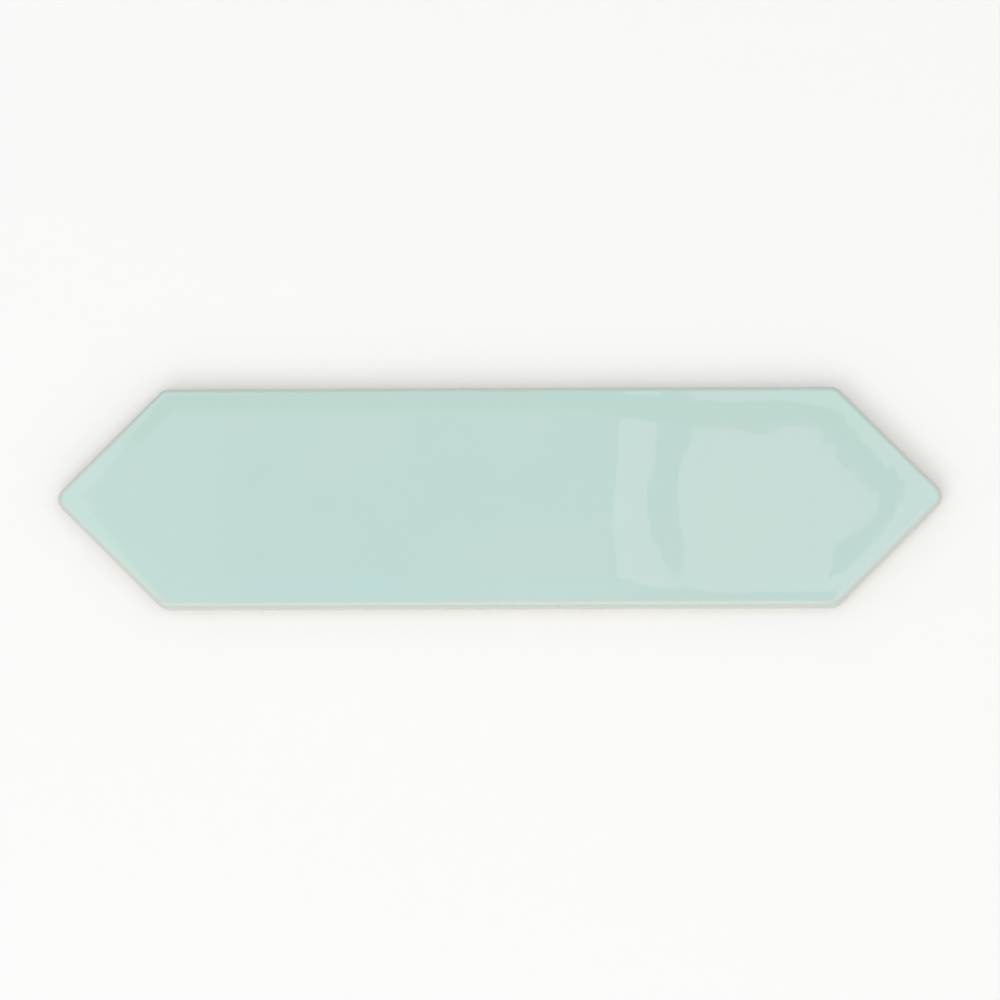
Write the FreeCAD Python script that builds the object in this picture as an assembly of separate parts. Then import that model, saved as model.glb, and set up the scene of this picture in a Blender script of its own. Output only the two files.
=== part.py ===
# Picket wall tile: one pressed and glazed ceramic piece, an elongated hexagon
# with two 90 degree points, for a wall laid in staggered columns.
#
# Frame: origin at the centre of the back (the bonding plane), +X along the
# tile's length, +Y across its width, +Z out of the glazed face. Millimetres.
import FreeCAD, Part
import math
import os

from FreeCAD import Vector

# ---- driving dimensions (mm) ----
LENGTH = 300.0            # over the rounded points
WIDTH = 75.0              # between the two long edges
THICKNESS = 9.0           # bonding plane to the mean glazed face
POINT_ANGLE = 90.0        # included angle of each point, in plan
TIP_RADIUS = 4.5          # plan rounding of the two points
SHOULDER_RADIUS = 5.0     # plan rounding of the four 135 degree corners
FACE_EDGE_RADIUS = 1.8    # roll of the face into the sides
CUSHION_DROP = 0.16       # the face is this much lower at its edge, before the roll
CUSHION_REACH = 5.2       # and the fall fades inwards over this length
BACK_ARRIS = 0.7          # chamfer round the back
KEY_MARGIN = 7.0          # plain land round the back, outside the keying
KEY_COUNT = 6             # keying grooves, along the length
KEY_PITCH = 9.5
KEY_WIDTH = 4.4           # at the bonding plane
KEY_DRAFT = 0.5           # each flank leans in by this much
KEY_DEPTH = 0.7
GRID = 4.0                # spacing of the points that carry the uneven face

# The face is uneven by about a tenth of a millimetre, as a hand-finished glaze
# is: long swells, each (x, y, radius along x, radius along y, height).
SWELLS = [
    (-134.0, -4.0, 16.0, 16.0, -0.030),
    (-116.0, 12.0, 24.0, 20.0, 0.045),
    (-96.0, -16.0, 22.0, 18.0, -0.050),
    (-70.0, 12.0, 20.0, 22.0, 0.050),
    (-44.0, -14.0, 22.0, 20.0, 0.045),
    (-20.0, 16.0, 20.0, 18.0, -0.045),
    (-2.0, -14.0, 20.0, 20.0, 0.040),
    (15.0, 12.0, 16.0, 20.0, -0.030),
    (40.5, -23.9, 13.9, 10.4, 0.137),
    (42.6, 43.7, 9.0, 38.4, 0.096),
    (51.4, 4.4, 10.3, 41.0, -0.105),
    (59.9, -0.7, 9.0, 15.6, 0.076),
    (66.2, -18.0, 9.0, 9.0, 0.063),
    (70.8, 22.2, 10.7, 9.4, 0.050),
    (86.8, -2.4, 23.4, 17.1, -0.113),
    (87.5, 36.5, 9.3, 13.6, -0.082),
    (104.1, -0.6, 14.2, 15.7, -0.087),
    (111.9, -36.8, 9.9, 42.0, 0.066),
    (118.3, 39.9, 18.7, 11.3, -0.136),
    (132.8, -4.4, 12.3, 9.0, 0.083),
    (134.0, -20.1, 19.9, 19.9, 0.079),
    (144.3, 1.7, 9.8, 9.7, 0.068),
]

HALF_L = LENGTH / 2.0
HALF_W = WIDTH / 2.0
HALF_POINT = math.radians(POINT_ANGLE / 2.0)
SIN_P = math.sin(HALF_POINT)
COS_P = math.cos(HALF_POINT)
# the sharp point lies outside its rounding
SHARP_L = HALF_L + TIP_RADIUS * (1.0 / SIN_P - 1.0)
SHOULDER_X = SHARP_L - HALF_W / math.tan(HALF_POINT)


def smooth_min(values, k):
    low = min(values)
    return low - k * math.log(sum(math.exp(-(v - low) / k) for v in values))


def inset(x, y):
    """Distance in from the outline, eased where two edges meet."""
    long_edge = HALF_W - abs(y)
    slope = (SHARP_L - abs(x)) * SIN_P - abs(y) * COS_P
    other = (SHARP_L - abs(x)) * SIN_P + abs(y) * COS_P
    return smooth_min([long_edge, slope, other], 1.2)


def face_height(x, y):
    """Height of the glazed face over the bonding plane, before the edge roll."""
    z = THICKNESS
    for cx, cy, rx, ry, h in SWELLS:
        z += h * math.exp(-((x - cx) / rx) ** 2 - ((y - cy) / ry) ** 2)
    z -= CUSHION_DROP * math.exp(-inset(x, y) / CUSHION_REACH)
    return z


def outline(points, radii):
    """A closed wire of straight edges joined by tangent arcs."""
    n = len(points)
    cut = []
    for i in range(n):
        p = Vector(points[i][0], points[i][1], 0)
        a = Vector(points[i - 1][0], points[i - 1][1], 0) - p
        b = Vector(points[(i + 1) % n][0], points[(i + 1) % n][1], 0) - p
        a.normalize()
        b.normalize()
        half = math.acos(max(-1.0, min(1.0, a.dot(b)))) / 2.0
        reach = radii[i] / math.tan(half)
        mid = a + b
        mid.normalize()
        centre = p + mid * (radii[i] / math.sin(half))
        cut.append((p + a * reach, centre - mid * radii[i], p + b * reach))
    edges = []
    for i in range(n):
        start, through, end = cut[i]
        edges.append(Part.Arc(start, through, end).toShape())
        edges.append(Part.LineSegment(end, cut[(i + 1) % n][0]).toShape())
    return Part.Wire(edges)


def body():
    points = [
        (SHARP_L, 0.0), (SHOULDER_X, HALF_W), (-SHOULDER_X, HALF_W),
        (-SHARP_L, 0.0), (-SHOULDER_X, -HALF_W), (SHOULDER_X, -HALF_W),
    ]
    radii = [TIP_RADIUS, SHOULDER_RADIUS, SHOULDER_RADIUS] * 2
    plan = Part.Face(outline(points, radii))
    blank = plan.extrude(Vector(0, 0, THICKNESS + 3.0))

    # the uneven face, carried on a little past the outline
    nx = int(math.ceil((SHARP_L + 6.0) / GRID))
    ny = int(math.ceil((HALF_W + 6.0) / GRID))
    rows = [
        [Vector(i * GRID, j * GRID, face_height(i * GRID, j * GRID)) for j in range(-ny, ny + 1)]
        for i in range(-nx, nx + 1)
    ]
    surface = Part.BSplineSurface()
    surface.interpolate(rows)
    lid = surface.toShape().extrude(Vector(0, 0, 12.0))
    solid = blank.cut(lid)

    top = [e for e in solid.Edges
           if min(v.Z for v in e.Vertexes) > THICKNESS - 2.0]
    solid = solid.makeFillet(FACE_EDGE_RADIUS, top)
    bottom = [e for e in solid.Edges if e.BoundBox.ZMax < 1e-6]
    solid = solid.makeChamfer(BACK_ARRIS, bottom)
    return solid


def groove(y_low, y_high):
    """One keying groove: flat floor, leaning flanks, ends cut parallel to the points."""
    reach = SHARP_L - KEY_MARGIN / SIN_P

    def corners(shrink, z):
        lo, hi = y_low + shrink, y_high - shrink
        x_lo = reach - shrink / SIN_P - abs(lo)
        x_hi = reach - shrink / SIN_P - abs(hi)
        return [Vector(-x_lo, lo, z), Vector(x_lo, lo, z), Vector(x_hi, hi, z), Vector(-x_hi, hi, z)]

    lean = KEY_DRAFT / KEY_DEPTH
    mouth = corners(-lean * 0.5, -0.5)
    floor = corners(KEY_DRAFT, KEY_DEPTH)
    sides = [[mouth[i], mouth[(i + 1) % 4], floor[(i + 1) % 4], floor[i]] for i in range(4)]
    faces = [Part.Face(Part.makePolygon(f + [f[0]])) for f in [mouth, floor] + sides]
    return Part.makeSolid(Part.makeShell(faces))


def build():
    solid = body()
    first = -KEY_PITCH * (KEY_COUNT - 1) / 2.0
    for i in range(KEY_COUNT):
        y = first + KEY_PITCH * i
        solid = solid.cut(groove(y - KEY_WIDTH / 2.0, y + KEY_WIDTH / 2.0))
    return solid


tile = build()
if tile.ShapeType != "Solid":
    tile = tile.Solids[0]
os.makedirs("parts", exist_ok=True)
tile.exportStep("parts/picket_tile.step")
box = tile.optimalBoundingBox(True, False)
print("picket_tile valid", tile.isValid(), "closed", tile.isClosed(),
      "faces", len(tile.Faces), "volume_mm3", round(tile.Volume, 1))
print("box", [round(v, 3) for v in (box.XMin, box.XMax, box.YMin, box.YMax, box.ZMin, box.ZMax)])
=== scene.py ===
import math

import bpy
import numpy as np
from mathutils import Matrix, Vector, noise
from mathutils.geometry import delaunay_2d_cdt


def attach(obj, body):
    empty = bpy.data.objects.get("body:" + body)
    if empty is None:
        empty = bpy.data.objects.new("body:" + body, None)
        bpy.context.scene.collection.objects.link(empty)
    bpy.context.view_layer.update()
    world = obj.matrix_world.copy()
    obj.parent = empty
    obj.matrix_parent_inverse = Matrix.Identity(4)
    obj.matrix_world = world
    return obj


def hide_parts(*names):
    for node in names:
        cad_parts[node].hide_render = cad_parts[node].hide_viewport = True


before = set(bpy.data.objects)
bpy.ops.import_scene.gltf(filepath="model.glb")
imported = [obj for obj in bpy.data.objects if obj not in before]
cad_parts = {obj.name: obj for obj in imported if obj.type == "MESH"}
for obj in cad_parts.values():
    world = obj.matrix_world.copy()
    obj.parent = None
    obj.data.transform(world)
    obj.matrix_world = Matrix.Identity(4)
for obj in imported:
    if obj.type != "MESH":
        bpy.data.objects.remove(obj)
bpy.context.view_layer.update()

# One glazed ceramic picket tile, lying face up. Lengths in this script are in
# millimetres until MM turns them into metres. The outline, the face and the
# keying grooves repeat the CAD model's dimensions.
MM = 0.001
LENGTH = 300.0
WIDTH = 75.0
THICKNESS = 9.0
TIP_RADIUS = 4.5
SHOULDER_RADIUS = 5.0
ROLL = 1.8                # radius of the roll from the face into the sides
CUSHION_DROP = 0.16
CUSHION_REACH = 5.2
ARRIS = 0.7               # chamfer round the back
KEY_MARGIN = 7.0
KEY_COUNT = 6
KEY_PITCH = 9.5
KEY_WIDTH = 4.4
KEY_DRAFT = 0.5
KEY_DEPTH = 0.7
BISCUIT_IN = 0.14         # the bare body stands this far inside the glaze
# long swells of the face, each (x, y, radius along x, radius along y, height)
SWELLS = [
    (-134.0, -4.0, 16.0, 16.0, -0.030),
    (-116.0, 12.0, 24.0, 20.0, 0.045),
    (-96.0, -16.0, 22.0, 18.0, -0.050),
    (-70.0, 12.0, 20.0, 22.0, 0.050),
    (-44.0, -14.0, 22.0, 20.0, 0.045),
    (-20.0, 16.0, 20.0, 18.0, -0.045),
    (-2.0, -14.0, 20.0, 20.0, 0.040),
    (15.0, 12.0, 16.0, 20.0, -0.030),
    (40.5, -23.9, 13.9, 10.4, 0.137),
    (42.6, 43.7, 9.0, 38.4, 0.096),
    (51.4, 4.4, 10.3, 41.0, -0.105),
    (59.9, -0.7, 9.0, 15.6, 0.076),
    (66.2, -18.0, 9.0, 9.0, 0.063),
    (70.8, 22.2, 10.7, 9.4, 0.050),
    (86.8, -2.4, 23.4, 17.1, -0.113),
    (87.5, 36.5, 9.3, 13.6, -0.082),
    (104.1, -0.6, 14.2, 15.7, -0.087),
    (111.9, -36.8, 9.9, 42.0, 0.066),
    (118.3, 39.9, 18.7, 11.3, -0.136),
    (132.8, -4.4, 12.3, 9.0, 0.083),
    (134.0, -20.1, 19.9, 19.9, 0.079),
    (144.3, 1.7, 9.8, 9.7, 0.068),
]
PIMPLE = (-15.8, -24.2, 1.7, 1.5, 0.085)   # one small raised spot, in the same terms

HALF_L = LENGTH / 2.0
HALF_W = WIDTH / 2.0
ROOT_HALF = math.sqrt(0.5)
SHARP_L = HALF_L + TIP_RADIUS * (1.0 / ROOT_HALF - 1.0)
SHOULDER_X = SHARP_L - HALF_W


# ---------------------------------------------------------------- the face
def inset(x, y):
    """Distance in from the outline, eased where two edges meet."""
    k = 1.2
    a = HALF_W - np.abs(y)
    b = (SHARP_L - np.abs(x) - np.abs(y)) * ROOT_HALF
    c = (SHARP_L - np.abs(x) + np.abs(y)) * ROOT_HALF
    low = np.minimum(np.minimum(a, b), c)
    return low - k * np.log(np.exp(-(a - low) / k) + np.exp(-(b - low) / k) + np.exp(-(c - low) / k))


def face_height(x, y):
    z = np.full_like(x, THICKNESS)
    for cx, cy, rx, ry, h in SWELLS + [PIMPLE]:
        z = z + h * np.exp(-((x - cx) / rx) ** 2 - ((y - cy) / ry) ** 2)
    return z - CUSHION_DROP * np.exp(-inset(x, y) / CUSHION_REACH)


# ---------------------------------------------------------------- the outline
def outline(step):
    """Points and outward normals round the rounded hexagon, anticlockwise, and how far each
    point is from the ends of its straight run: 0 at them and on the arcs, 1 halfway."""
    corners = [(SHARP_L, 0.0, TIP_RADIUS), (SHOULDER_X, HALF_W, SHOULDER_RADIUS),
               (-SHOULDER_X, HALF_W, SHOULDER_RADIUS), (-SHARP_L, 0.0, TIP_RADIUS),
               (-SHOULDER_X, -HALF_W, SHOULDER_RADIUS), (SHOULDER_X, -HALF_W, SHOULDER_RADIUS)]
    n = len(corners)
    arcs = []
    for i, (px, py, r) in enumerate(corners):
        p = Vector((px, py))
        a = (Vector(corners[i - 1][:2]) - p).normalized()
        b = (Vector(corners[(i + 1) % n][:2]) - p).normalized()
        half = a.angle(b) / 2.0
        centre = p + (a + b).normalized() * (r / math.sin(half))
        first = math.atan2(*reversed((p + a * (r / math.tan(half)) - centre)[:]))
        turn = math.pi - 2.0 * half
        arcs.append((centre, r, first, turn))
    pts, nrm, mid = [], [], []
    for i, (centre, r, first, turn) in enumerate(arcs):
        m = 20 if turn > 1.2 else 12
        for k in range(m + 1):
            t = first + turn * k / m
            d = Vector((math.cos(t), math.sin(t)))
            pts.append(centre + d * r)
            nrm.append(d)
            mid.append(0.0)
        c2, r2, f2, _ = arcs[(i + 1) % n]
        end = c2 + Vector((math.cos(f2), math.sin(f2))) * r2
        start, d = pts[-1], nrm[-1]
        run = (end - start).length
        m = int(round(run / step))
        for k in range(1, m):
            pts.append(start + (end - start) * (k / m))
            nrm.append(d)
            mid.append(4.0 * k / m * (1.0 - k / m))
    p = np.array([v[:] for v in pts])
    q = np.array([v[:] for v in nrm])
    return p, q, np.array(mid)


def smooth(t):
    t = np.clip(t, 0.0, 1.0)
    return t * t * (3.0 - 2.0 * t)


def wander(p, scale, seed):
    """Smooth seeded noise along the outline, about -1 to 1."""
    return np.array([noise.noise(Vector((x / scale, y / scale, seed * 7.31))) for x, y in p]) * 1.6


P, N, MID = outline(0.9)
COUNT = len(P)
BOW = 0.25                # see fill()

# The lower edge of the glaze on the sides: it wanders, and here and there a
# run reaches further down.
glaze_line = 4.35 + 0.42 * wander(P, 17.0, 1) + 0.30 * wander(P, 5.5, 2) + 0.10 * wander(P, 1.9, 3)
runs = np.clip(wander(P, 9.0, 4) - 0.62, 0.0, 1.0)
glaze_line = np.clip(glaze_line - 3.0 * runs, 1.7, 5.6)

verts = []      # x, y, z in mm
edge_mm = []    # distance in from the outline
glaze_mm = []   # height over the lower edge of the glaze, along the surface
roll_of = []    # 0 on the sides and the back, up to 1 where the roll meets the face
polys = []


def add_ring(off, z, glaze, roll=0.0):
    """One ring of points round the tile, off mm inside the outline."""
    base = len(verts)
    off = np.broadcast_to(off, COUNT)
    z = np.broadcast_to(z, COUNT)
    glaze = np.broadcast_to(glaze, COUNT)
    q = P - N * off[:, None]
    for i in range(COUNT):
        verts.append((q[i, 0], q[i, 1], z[i]))
        edge_mm.append(max(0.0, off[i]))
        glaze_mm.append(glaze[i])
        roll_of.append(roll)
    return base


def bridge(lower, upper):
    for i in range(COUNT):
        j = (i + 1) % COUNT
        polys.append((lower + i, lower + j, upper + j, upper + i))


def at(off):
    q = P - N * off
    return face_height(q[:, 0], q[:, 1])


# ---- sides, from the back's arris up to the roll ----
top_of_side = at(0.0) - ROLL
zg = glaze_line
# the pressed body has a fine unevenness of its own
press = 0.035 * wander(P, 11.0, 9) + 0.02 * wander(P, 3.0, 10)
rings = []
for off, z in ((0.86, 0.0), (0.66, 0.05), (0.46, 0.20), (0.30, 0.42), (0.20, 0.68)):
    rings.append(add_ring(off, z, z - zg))
back_ring = rings[0]
bare = BISCUIT_IN + 0.02 + np.clip(press, -0.03, 0.05)
for t in (0.0, 0.25, 0.5, 0.75, 1.0):
    z = 0.95 + (zg - 0.36 - 0.95) * t
    rings.append(add_ring(bare, z, z - zg))
# the rounded lower edge of the glaze, a little thicker than the rest
for dz, share in ((-0.20, 0.03), (-0.11, 0.16), (-0.05, 0.38), (0.0, 0.62), (0.06, 0.83), (0.14, 0.96), (0.26, 1.0)):
    rings.append(add_ring(bare * (1.0 - share), zg + dz, dz))
low = zg + 0.26
thin = 0.035
for t in (0.16, 0.34, 0.52, 0.70, 0.86):
    z = low + (top_of_side - low) * t
    off = thin * smooth(t / 0.5) * (1.0 - smooth((t - 0.6) / 0.4))
    rings.append(add_ring(off, z, z - zg))

# ---- the roll and the cushioned edge band of the face ----
for k in range(0, 13):
    a = math.pi / 2.0 * k / 12.0
    off = ROLL * (1.0 - math.cos(a))
    drop = ROLL * (1.0 - math.sin(a))
    glaze = 2.0 + ROLL * a
    rings.append(add_ring(off, at(off) - drop, np.maximum(glaze, top_of_side - zg), k / 12.0))
for off in (2.15, 2.55, 3.0, 3.5):
    rings.append(add_ring(off, at(off), 6.0, 1.0))
for a, b in zip(rings, rings[1:]):
    bridge(a, b)
inner_ring = rings[-1]

def fill(coords, edges, runs):
    """Triangles between the given loops. A loop's straight runs are given bowed a little, away
    from what is filled. So a triangle that joins three points of one run lies outside."""
    v, _, f, orig, _, _ = delaunay_2d_cdt(coords, edges, [], 0, 1e-7, True)
    orig = [o[0] for o in orig]
    kept = [t for t in f if not any(all(orig[k] in run for k in t) for run in runs)]
    return v, kept, orig


def turned(tri, up):
    """The triangle, wound so that it faces up (1) or down (-1)."""
    (ax, ay, _), (bx, by, _), (cx, cy, _) = (verts[i] for i in tri)
    area = (bx - ax) * (cy - ay) - (cx - ax) * (by - ay)
    return tri if area * up > 0 else tri[::-1]


def bowed(off):
    return [Vector(q) for q in P - N * (off + BOW * MID)[:, None]]


# ---- the middle of the face: a fine lattice, stitched to the edge band ----
STEP = 0.8
inner = bowed(3.5)
runs_round = []
i = 0
while i < COUNT:
    if MID[i] > 0.0 and MID[i - 1] == 0.0:
        run = {i - 1}
        while i < COUNT and MID[i] > 0.0:
            run.add(i)
            i += 1
        run.add(i % COUNT)
        runs_round.append(run)
    i += 1
xs = np.arange(-HALF_L, HALF_L + STEP, STEP)
ys = np.arange(-HALF_W, HALF_W + STEP, STEP)
gx, gy = np.meshgrid(xs, ys)
gx, gy = gx.ravel(), gy.ravel()
sharp = np.minimum(HALF_W - np.abs(gy), (SHARP_L - np.abs(gx) - np.abs(gy)) * ROOT_HALF)
tip_x = HALF_L - TIP_RADIUS
beyond = np.abs(gx) - tip_x
from_tip = TIP_RADIUS - np.hypot(beyond, gy)
sharp = np.where(beyond > np.abs(gy), np.minimum(sharp, from_tip), sharp)
keep = sharp > 3.5 + 0.55
lattice = [Vector((x, y)) for x, y in zip(gx[keep], gy[keep])]
coords = inner + lattice
loop = [(i, (i + 1) % COUNT) for i in range(COUNT)]
out_v, out_f, orig = fill(coords, loop, runs_round)
index = []
px = np.array([v[0] for v in out_v])
py = np.array([v[1] for v in out_v])
pz = face_height(px, py)
ps = np.minimum(HALF_W - np.abs(py), (SHARP_L - np.abs(px) - np.abs(py)) * ROOT_HALF)
for i, o in enumerate(orig):
    if o < COUNT:
        index.append(inner_ring + o)
    else:
        index.append(len(verts))
        verts.append((px[i], py[i], pz[i]))
        edge_mm.append(min(float(ps[i]), 40.0))
        glaze_mm.append(6.0)
        roll_of.append(1.0)
for f in out_f:
    polys.append(turned(tuple(index[k] for k in f), 1))

# ---- the back, with its keying grooves ----
REACH = SHARP_L - KEY_MARGIN / ROOT_HALF
KEY_SIDES = (36, 3, 36, 3)        # how many parts each side of a groove's loop is divided into


def key_ring(y_low, y_high, shrink, z, bow=0.0):
    """One loop round a groove, with its edges divided. With bow, they curve outwards by that."""
    lo, hi = y_low + shrink, y_high - shrink
    x_lo = REACH - shrink / ROOT_HALF - abs(lo)
    x_hi = REACH - shrink / ROOT_HALF - abs(hi)
    pts = []
    ends = ((-x_lo, lo), (x_lo, lo), (x_hi, hi), (-x_hi, hi))
    for a, b, m in zip(ends, ends[1:] + ends[:1], KEY_SIDES):
        out = Vector((b[1] - a[1], a[0] - b[0])).normalized()
        for k in range(m):
            t = k / m
            push_out = bow * 4.0 * t * (1.0 - t)
            pts.append((a[0] + (b[0] - a[0]) * t + out[0] * push_out,
                        a[1] + (b[1] - a[1]) * t + out[1] * push_out, z))
    return pts


def push(points, edge, glaze):
    base = len(verts)
    for q in points:
        verts.append(q)
        edge_mm.append(edge)
        glaze_mm.append(glaze)
        roll_of.append(0.0)
    return base


back_coords = bowed(0.86)
back_index = [back_ring + i for i in range(COUNT)]
back_edges = [(i, (i + 1) % COUNT) for i in range(COUNT)]
hole_of = [-1] * COUNT
holes = []
first = -KEY_PITCH * (KEY_COUNT - 1) / 2.0
PROFILE = ((-0.14, 0.0), (-0.04, 0.02), (0.03, 0.09), (0.10, 0.20), (0.38, 0.56), (0.47, 0.66), (0.60, KEY_DEPTH))
for g in range(KEY_COUNT):
    y = first + KEY_PITCH * g
    y_low, y_high = y - KEY_WIDTH / 2.0, y + KEY_WIDTH / 2.0
    loops = []
    for shrink, z in PROFILE:
        pts = key_ring(y_low, y_high, shrink, z)
        loops.append(push(pts, 20.0, -4.0))
    m = len(pts)
    for a, b in zip(loops, loops[1:]):
        for i in range(m):
            j = (i + 1) % m
            polys.append((a + i, b + i, b + j, a + j))
    # the groove's floor, between its two long sides
    floor_loop = [loops[-1] + i for i in range(m)]
    fl = [Vector(q[:2]) for q in key_ring(y_low, y_high, PROFILE[-1][0], 0.0, -0.2)]
    sides = []
    start = 0
    for length in KEY_SIDES:
        sides.append({(start + k) % m for k in range(length + 1)})
        start += length
    _, ff, fo = fill(fl, [(i, (i + 1) % m) for i in range(m)], sides)
    for f in ff:
        tri = tuple(floor_loop[fo[k]] for k in f)
        polys.append(turned(tri, -1))
    start = len(back_coords)
    back_coords += [Vector(q[:2]) for q in key_ring(y_low, y_high, PROFILE[0][0], 0.0, 0.2)]
    back_index += [loops[0] + i for i in range(m)]
    back_edges += [(start + i, start + (i + 1) % m) for i in range(m)]
    hole_of += [g] * m
    sh = PROFILE[0][0]
    holes.append((y_low + sh, y_high - sh, sh))
fixed = len(back_coords)
for x in np.arange(-144.0, 145.0, 6.0):
    for y in np.arange(-36.0, 37.0, 2.375):
        s = min(HALF_W - abs(y), (SHARP_L - abs(x) - abs(y)) * ROOT_HALF)
        if s < 2.2:
            continue
        if any(lo - 0.8 < y < hi + 0.8 and abs(x) < REACH - sh / ROOT_HALF - abs(y) + 1.2 for lo, hi, sh in holes):
            continue
        back_coords.append(Vector((x, y)))
bv, bf, bo = fill(back_coords, back_edges, runs_round)
hole_of += [-1] * (len(back_coords) - fixed)
ids = []
for i, o in enumerate(bo):
    if o < fixed:
        ids.append(back_index[o])
    else:
        ids.append(len(verts))
        verts.append((bv[i][0], bv[i][1], 0.0))
        edge_mm.append(20.0)
        glaze_mm.append(-4.0)
        roll_of.append(0.0)
for f in bf:
    owners = {hole_of[bo[k]] for k in f}
    if len(owners) == 1 and owners != {-1}:
        continue          # inside a groove
    polys.append(turned(tuple(ids[k] for k in f), -1))

# ---------------------------------------------------------------- the mesh
mesh = bpy.data.meshes.new("picket_tile_glazed")
mesh.from_pydata([(x * MM, y * MM, z * MM) for x, y, z in verts], [], polys)
mesh.validate()
for name, values in (("edge_mm", edge_mm), ("glaze_mm", glaze_mm), ("roll", roll_of)):
    layer = mesh.attributes.new(name, "FLOAT", "POINT")
    layer.data.foreach_set("value", np.array(values, dtype=np.float32))
mesh.shade_smooth()
mesh.set_sharp_from_angle(angle=math.radians(40.0))
mesh.update()
tile = bpy.data.objects.new("picket_tile_glazed", mesh)
bpy.context.scene.collection.objects.link(tile)


# ---------------------------------------------------------------- the material
def node(tree, kind, x, y, **values):
    n = tree.nodes.new(kind)
    n.location = (x, y)
    for key, value in values.items():
        setattr(n, key, value)
    return n


class Build:
    """Short spellings for the few node kinds that the material uses."""

    def __init__(self, tree):
        self.tree = tree
        self.x = -2600

    def link(self, a, b):
        self.tree.links.new(a, b)

    def put(self, socket, value):
        if isinstance(value, bpy.types.NodeSocket):
            self.link(value, socket)
        else:
            socket.default_value = value

    def math(self, op, a, b=0.0, c=0.0, clamp=False):
        n = node(self.tree, "ShaderNodeMath", self.x, 0, operation=op, use_clamp=clamp)
        self.put(n.inputs[0], a)
        self.put(n.inputs[1], b)
        if len(n.inputs) > 2:
            self.put(n.inputs[2], c)
        return n.outputs[0]

    def remap(self, v, a, b, c=0.0, d=1.0, kind="SMOOTHSTEP"):
        n = node(self.tree, "ShaderNodeMapRange", self.x, 0, interpolation_type=kind)
        self.put(n.inputs["Value"], v)
        n.inputs["From Min"].default_value = a
        n.inputs["From Max"].default_value = b
        n.inputs["To Min"].default_value = c
        n.inputs["To Max"].default_value = d
        return n.outputs["Result"]

    def noise(self, scale, detail=2.0, rough=0.5, at=None, w=None):
        n = node(self.tree, "ShaderNodeTexNoise", self.x, 0)
        n.inputs["Scale"].default_value = scale
        n.inputs["Detail"].default_value = detail
        n.inputs["Roughness"].default_value = rough
        if at is not None:
            self.link(at, n.inputs["Vector"])
        return n.outputs["Fac"]

    def cells(self, scale, at, feature="F1"):
        n = node(self.tree, "ShaderNodeTexVoronoi", self.x, 0, feature=feature)
        n.inputs["Scale"].default_value = scale
        self.link(at, n.inputs["Vector"])
        return n

    def mix(self, fac, a, b, blend="MIX"):
        n = node(self.tree, "ShaderNodeMix", self.x, 0, data_type="RGBA", blend_type=blend)
        self.put(n.inputs[0], fac)
        self.put(n.inputs[6], a)
        self.put(n.inputs[7], b)
        return n.outputs[2]

    def mixf(self, fac, a, b):
        n = node(self.tree, "ShaderNodeMix", self.x, 0, data_type="FLOAT")
        self.put(n.inputs[0], fac)
        self.put(n.inputs[2], a)
        self.put(n.inputs[3], b)
        return n.outputs[0]

    def attr(self, name):
        n = node(self.tree, "ShaderNodeAttribute", self.x, 0, attribute_name=name)
        return n.outputs["Fac"]


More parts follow.
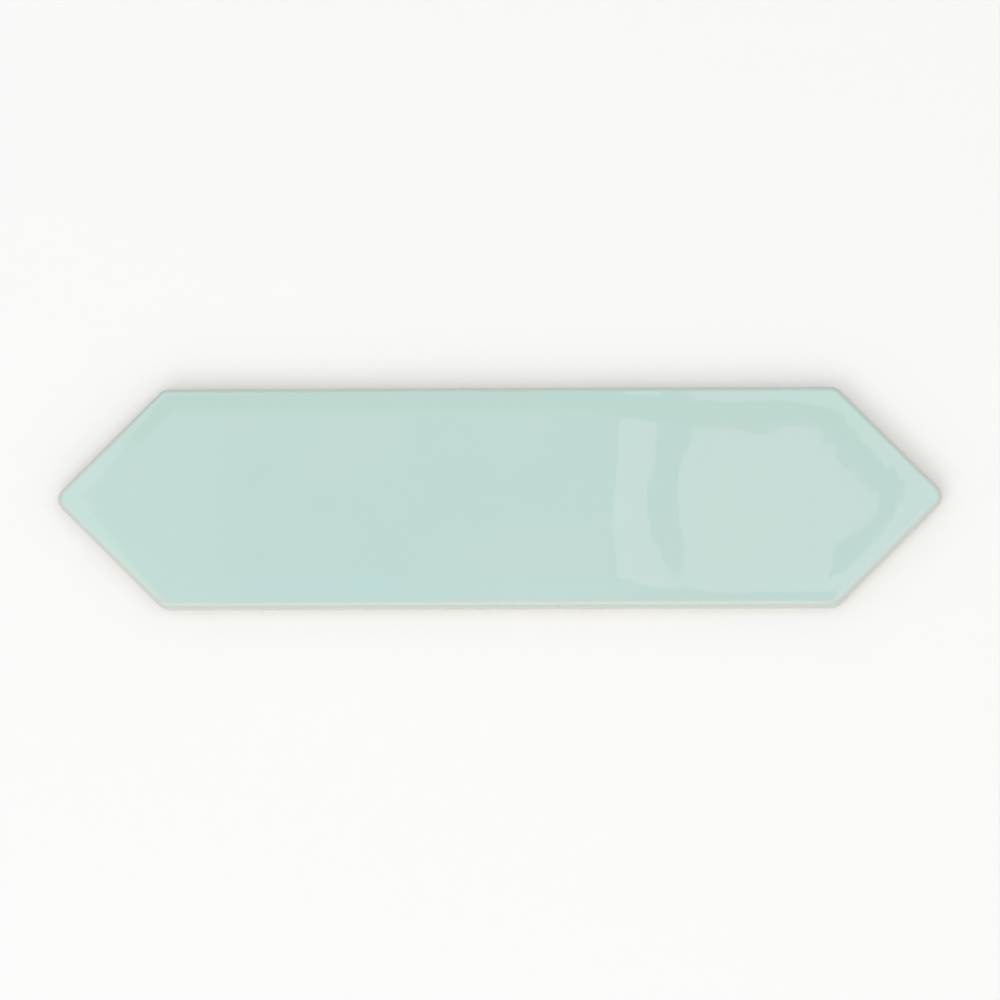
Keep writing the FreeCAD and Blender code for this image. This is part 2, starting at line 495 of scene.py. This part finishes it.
def tile_material():
    mat = bpy.data.materials.new("sea_green_glaze_over_biscuit")
    mat.use_nodes = True
    tree = mat.node_tree
    tree.nodes.clear()
    b = Build(tree)
    out = node(tree, "ShaderNodeOutputMaterial", 900, 0)
    bsdf = node(tree, "ShaderNodeBsdfPrincipled", 600, 0)
    b.link(bsdf.outputs[0], out.inputs[0])
    at = node(tree, "ShaderNodeTexCoord", -2900, 0).outputs["Object"]

    edge = b.attr("edge_mm")
    height = b.attr("glaze_mm")

    # where there is glaze: above its lower edge, with a finely broken boundary
    b.x = -2300
    ragged = b.math("MULTIPLY_ADD", b.noise(1500.0, 3.0, 0.6, at), 0.22, -0.11)
    shown = b.remap(b.math("ADD", height, ragged), -0.06, 0.06)

    # ---- glaze colour ----
    b.x = -2000
    wide = b.remap(b.noise(19.0, 2.0, 0.5, at), 0.34, 0.66)
    cloud = b.remap(b.noise(70.0, 3.0, 0.55, at), 0.30, 0.70)
    fine = b.remap(b.noise(420.0, 3.0, 0.6, at), 0.25, 0.75)
    colour = b.mix(wide, (0.486, 0.652, 0.626, 1), (0.502, 0.658, 0.612, 1))
    colour = b.mix(b.math("MULTIPLY", cloud, 0.25), colour, (0.512, 0.668, 0.630, 1))
    colour = b.mix(b.math("MULTIPLY", fine, 0.12), colour, (0.455, 0.632, 0.590, 1))
    # darker, deeper green inside the +Y rim and paler along the -Y rim: glaze pooled on that side
    # and thinner on the other, and painted shade on the +Y side, painted light on the -Y side
    b.x = -1800
    across = node(tree, "ShaderNodeSeparateXYZ", b.x, 0)
    b.link(at, across.inputs[0])
    upper = b.remap(across.outputs[1], 0.004, 0.030)
    lower = b.remap(across.outputs[1], -0.004, -0.030)
    uneven = b.math("MULTIPLY_ADD", b.noise(60.0, 2.0, 0.5, at), 2.4, -1.2)
    inside = b.math("ADD", edge, uneven)
    # painted light makes the -X end a little paler, and painted shade makes the +X end a little deeper,
    # where the darker band inside the rim also reaches further in
    along = b.math("MULTIPLY_ADD", uneven, 0.004, across.outputs[0])
    painted_light_end = b.remap(along, -0.080, -0.108)
    painted_shade_end = b.remap(along, 0.022, 0.062)
    colour = b.mix(b.math("MULTIPLY", painted_light_end, 0.6), colour, (0.516, 0.676, 0.640, 1))
    colour = b.mix(b.math("MULTIPLY", painted_shade_end, 0.5), colour, (0.484, 0.632, 0.600, 1))
    reach_in = b.math("MULTIPLY_ADD", painted_shade_end, -4.5, inside)
    # the band inside the rim; on the +Y side it is painted shade over pooled glaze
    pool_and_shade = b.math("MULTIPLY", b.remap(edge, 1.5, 2.6), b.remap(reach_in, 5.5, 10.0, 1.0, 0.0))
    colour = b.mix(b.math("MULTIPLY", b.math("MULTIPLY", pool_and_shade, upper), 0.95), colour, (0.473, 0.645, 0.590, 1))
    # painted light: paler inside the -Y rim, over glaze that runs thinner there
    thin = b.math("MULTIPLY", b.remap(inside, 1.6, 4.6, 1.0, 0.0), lower)
    colour = b.mix(b.math("MULTIPLY", thin, 0.22), colour, (0.600, 0.655, 0.590, 1))
    cool = b.math("MULTIPLY", b.remap(edge, 3.0, 5.5), b.remap(inside, 7.5, 11.5, 1.0, 0.0))
    cool = b.math("MULTIPLY", cool, b.remap(along, 0.022, 0.062, 1.0, 0.35))
    colour = b.mix(b.math("MULTIPLY", b.math("MULTIPLY", cool, lower), 0.45), colour, (0.484, 0.674, 0.650, 1))
    # and it runs thin over the roll, so the pale body shows through
    b.x = -1700
    breaks = b.math("MULTIPLY_ADD", b.noise(75.0, 4.0, 0.62, at), 0.62, -0.31)
    roll = b.attr("roll")
    turn = b.math("ADD", roll, breaks)
    rim = b.math("MULTIPLY", b.remap(turn, 0.02, 0.28), b.remap(turn, 0.72, 1.04, 1.0, 0.0))
    rim = b.math("MULTIPLY", rim, b.math("MULTIPLY", b.remap(roll, 0.0, 0.10), b.remap(roll, 0.84, 1.0, 1.0, 0.0)))
    # the rim tint: cream body along the -Y side; greyer and darker along the +Y side, which is painted shade
    pale = b.mix(upper, (0.558, 0.592, 0.532, 1), (0.502, 0.568, 0.528, 1))
    colour = b.mix(b.math("MULTIPLY", rim, 0.80), colour, pale)
    # on the sides it is thicker towards its lower edge, then fades at it
    thick = b.math("MULTIPLY", b.remap(height, 0.25, 0.7), b.remap(height, 1.2, 2.6, 1.0, 0.0))
    colour = b.mix(b.math("MULTIPLY", thick, 0.5), colour, (0.375, 0.585, 0.525, 1))
    last = b.remap(height, 0.02, 0.30, 1.0, 0.0)
    colour = b.mix(b.math("MULTIPLY", last, 0.6), colour, (0.66, 0.68, 0.60, 1))
    # pinholes and pale specks, few and small
    b.x = -1400
    spots = b.cells(230.0, at)
    pick = b.math("GREATER_THAN", b.math("FRACT", b.math("MULTIPLY", spots.outputs["Color"], 7.13)), 0.93)
    dot = b.math("MULTIPLY", b.remap(spots.outputs["Distance"], 0.035, 0.075, 1.0, 0.0), pick)
    colour = b.mix(b.math("MULTIPLY", dot, 0.30), colour, (0.60, 0.68, 0.62, 1))

    # ---- bare body colour ----
    b.x = -1100
    tone = b.remap(b.noise(28.0, 4.0, 0.55, at), 0.30, 0.70)
    body = b.mix(tone, (0.690, 0.630, 0.530, 1), (0.755, 0.705, 0.610, 1))
    grain = b.remap(b.noise(2600.0, 3.0, 0.7, at), 0.30, 0.70)
    body = b.mix(b.math("MULTIPLY", grain, 0.35), body, (0.62, 0.555, 0.455, 1))
    chips = b.cells(900.0, at)
    lot = b.math("FRACT", b.math("MULTIPLY", chips.outputs["Color"], 5.37))
    iron = b.remap(lot, 0.93, 1.0, 0.0, 0.30, "LINEAR")
    ragged_chip = b.math("MULTIPLY_ADD", b.noise(3800.0, 2.0, 0.6, at), 0.30, -0.15)
    freckle = b.math("LESS_THAN", b.math("ADD", chips.outputs["Distance"], ragged_chip), iron)
    body = b.mix(b.math("MULTIPLY", freckle, 0.55), body, (0.36, 0.27, 0.19, 1))
    dust = b.remap(b.noise(55.0, 5.0, 0.65, at), 0.52, 0.78)
    body = b.mix(b.math("MULTIPLY", dust, 0.28), body, (0.82, 0.80, 0.76, 1))

    b.x = -800
    b.link(b.mix(shown, body, colour), bsdf.inputs["Base Color"])

    # ---- roughness ----
    gloss = b.remap(b.noise(95.0, 4.0, 0.6, at), 0.30, 0.75, 0.018, 0.034)
    gloss = b.mixf(rim, gloss, 0.13)
    gloss = b.mixf(last, gloss, 0.22)
    gloss = b.mixf(dot, gloss, 0.20)
    matt = b.remap(grain, 0.0, 1.0, 0.82, 0.96, "LINEAR")
    b.link(b.mixf(shown, matt, gloss), bsdf.inputs["Roughness"])

    # ---- relief, in metres ----
    b.x = -500
    peel = b.math("MULTIPLY", b.noise(330.0, 2.0, 0.45, at), 7.0e-7)
    ripple = b.math("MULTIPLY", b.noise(125.0, 1.5, 0.4, at), 1.7e-5)
    pit = b.math("MULTIPLY", dot, -1.2e-5)
    skin = b.math("ADD", b.math("ADD", peel, ripple), pit)
    sand = b.math("MULTIPLY", grain, 4.5e-5)
    lumps = b.math("MULTIPLY", b.noise(700.0, 4.0, 0.6, at), 9.0e-5)
    raw = b.math("ADD", sand, lumps)
    relief = b.mixf(shown, raw, skin)
    bump = node(tree, "ShaderNodeBump", 300, -300)
    bump.inputs["Strength"].default_value = 1.0
    bump.inputs["Distance"].default_value = 1.0
    b.link(relief, bump.inputs["Height"])
    b.link(bump.outputs[0], bsdf.inputs["Normal"])

    bsdf.inputs["IOR"].default_value = 1.5
    return mat


mesh.materials.append(tile_material())

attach(tile, "root")
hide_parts("picket_tile")


# ---------------------------------------------------------------- the stage
def floor_material():
    mat = bpy.data.materials.new("white_floor")
    mat.use_nodes = True
    tree = mat.node_tree
    bsdf = tree.nodes["Principled BSDF"]
    b = Build(tree)
    at = node(tree, "ShaderNodeTexCoord", -900, 0).outputs["Object"]
    b.x = -600
    tone = b.noise(3.0, 2.0, 0.5, at)
    b.link(b.mix(tone, (0.875, 0.875, 0.875, 1), (0.885, 0.885, 0.885, 1)), bsdf.inputs["Base Color"])
    b.link(b.remap(tone, 0.3, 0.7, 0.86, 0.92), bsdf.inputs["Roughness"])
    bsdf.inputs["Specular IOR Level"].default_value = 0.2
    return mat


half = 30.0
floor_mesh = bpy.data.meshes.new("floor")
floor_mesh.from_pydata([(-half, -half, 0), (half, -half, 0), (half, half, 0), (-half, half, 0)], [], [(0, 1, 2, 3)])
floor = bpy.data.objects.new("floor", floor_mesh)
floor.location.z = -0.0001
floor_mesh.materials.append(floor_material())
bpy.context.scene.collection.objects.link(floor)

# ---- camera: over the tile, a few degrees off its normal towards its lower right ----
CAMERA_HEIGHT = 3.0
CAMERA_X = CAMERA_HEIGHT * math.tan(math.radians(2.0))
CAMERA_Y = -CAMERA_HEIGHT * math.tan(math.radians(6.0))
FRAME = 0.340             # metres across the image, at the tile
place = Vector((CAMERA_X, CAMERA_Y, CAMERA_HEIGHT))
camera_data = bpy.data.cameras.new("camera")
camera_data.sensor_width = 36.0
camera_data.lens = 36.0 * place.length / FRAME
camera_data.clip_start = 0.05
camera_data.clip_end = 100.0
camera = bpy.data.objects.new("camera", camera_data)
camera.location = place
back = place.normalized()
right = Vector((0.0, 1.0, 0.0)).cross(back).normalized()
camera.rotation_euler = Matrix((right, back.cross(right), back)).transposed().to_euler()
bpy.context.scene.collection.objects.link(camera)
bpy.context.scene.camera = camera

# ---- light: flat panels hung at the camera's height. ----
# The face mirrors the points of that height that lie twice as far out as its own
# points, less the camera's offset, so the panels are placed from there.


def panel(name, x0, x1, y0, y1, radiance, colour=(1.0, 1.0, 1.0)):
    data = bpy.data.lights.new(name, "AREA")
    data.shape = "RECTANGLE"
    data.size = x1 - x0
    data.size_y = y1 - y0
    data.energy = radiance * math.pi * data.size * data.size_y
    data.color = colour
    lamp = bpy.data.objects.new(name, data)
    lamp.location = ((x0 + x1) / 2.0 - CAMERA_X, (y0 + y1) / 2.0 - CAMERA_Y, CAMERA_HEIGHT)
    lamp.visible_camera = False
    bpy.context.scene.collection.objects.link(lamp)
    return lamp


panel("soft_window", 0.0995, 0.2171, -0.1331, 0.0576, 1.25, (1.0, 0.68, 0.76))
panel("window_return", 0.2171, 0.2825, -0.1331, -0.0779, 1.15, (1.0, 0.80, 0.82))
panel("panel_right", 0.2825, 2.1, -1.6, 1.5, 1.15, (1.0, 0.98, 0.93))
panel("panel_top", 0.1076, 0.2825, 0.1596, 1.3, 1.25, (1.0, 0.74, 0.86))
panel("panel_bottom", -2.1, 0.2825, -1.2, -0.34, 1.15)
panel("panel_low", -2.1, 0.2825, -3.9, -1.2, 1.86)
panel("panel_left", -2.1, -0.315, -0.34, 1.2, 0.85)


def studio():
    """An even white surround with a ring of paned windows low round it, soft at their edges.
    They are what the glaze mirrors when it is seen from a side."""
    world = bpy.data.worlds.new("studio")
    world.use_nodes = True
    tree = world.node_tree
    b = Build(tree)
    ray = node(tree, "ShaderNodeTexCoord", -1400, 0).outputs["Generated"]
    parts = node(tree, "ShaderNodeSeparateXYZ", -1200, 0)
    b.link(ray, parts.inputs[0])
    b.x = -1000
    turn = b.math("DIVIDE", b.math("ARCTAN2", parts.outputs[1], parts.outputs[0]), math.radians(9.0))
    rise = b.math("DIVIDE", b.math("ARCSINE", parts.outputs[2]), math.radians(12.0))
    wide = b.remap(b.math("ABSOLUTE", b.math("SUBTRACT", b.math("FRACT", b.math("ADD", turn, 0.37)), 0.5)), 0.37, 0.44, 1.0, 0.0)
    tall = b.remap(b.math("ABSOLUTE", b.math("SUBTRACT", b.math("FRACT", rise), 0.5)), 0.37, 0.44, 1.0, 0.0)
    band = b.math("MULTIPLY", b.math("GREATER_THAN", rise, 1.0), b.math("LESS_THAN", rise, 4.0))
    side = b.remap(parts.outputs[1], -0.8, 0.8, WINDOW_FRONT, WINDOW_BACK, "LINEAR")
    window = b.math("MULTIPLY", b.math("MULTIPLY", b.math("MULTIPLY", wide, tall), band), side)
    ground = tree.nodes["Background"]
    ground.inputs[0].default_value = (1.0, 1.0, 1.0, 1.0)
    b.link(b.math("ADD", window, SURROUND), ground.inputs[1])
    return world


SURROUND = 0.42
WINDOW_FRONT = 0.9
WINDOW_BACK = 0.55
world = studio()
bpy.context.scene.world = world
bpy.context.scene.view_settings.view_transform = "Standard"
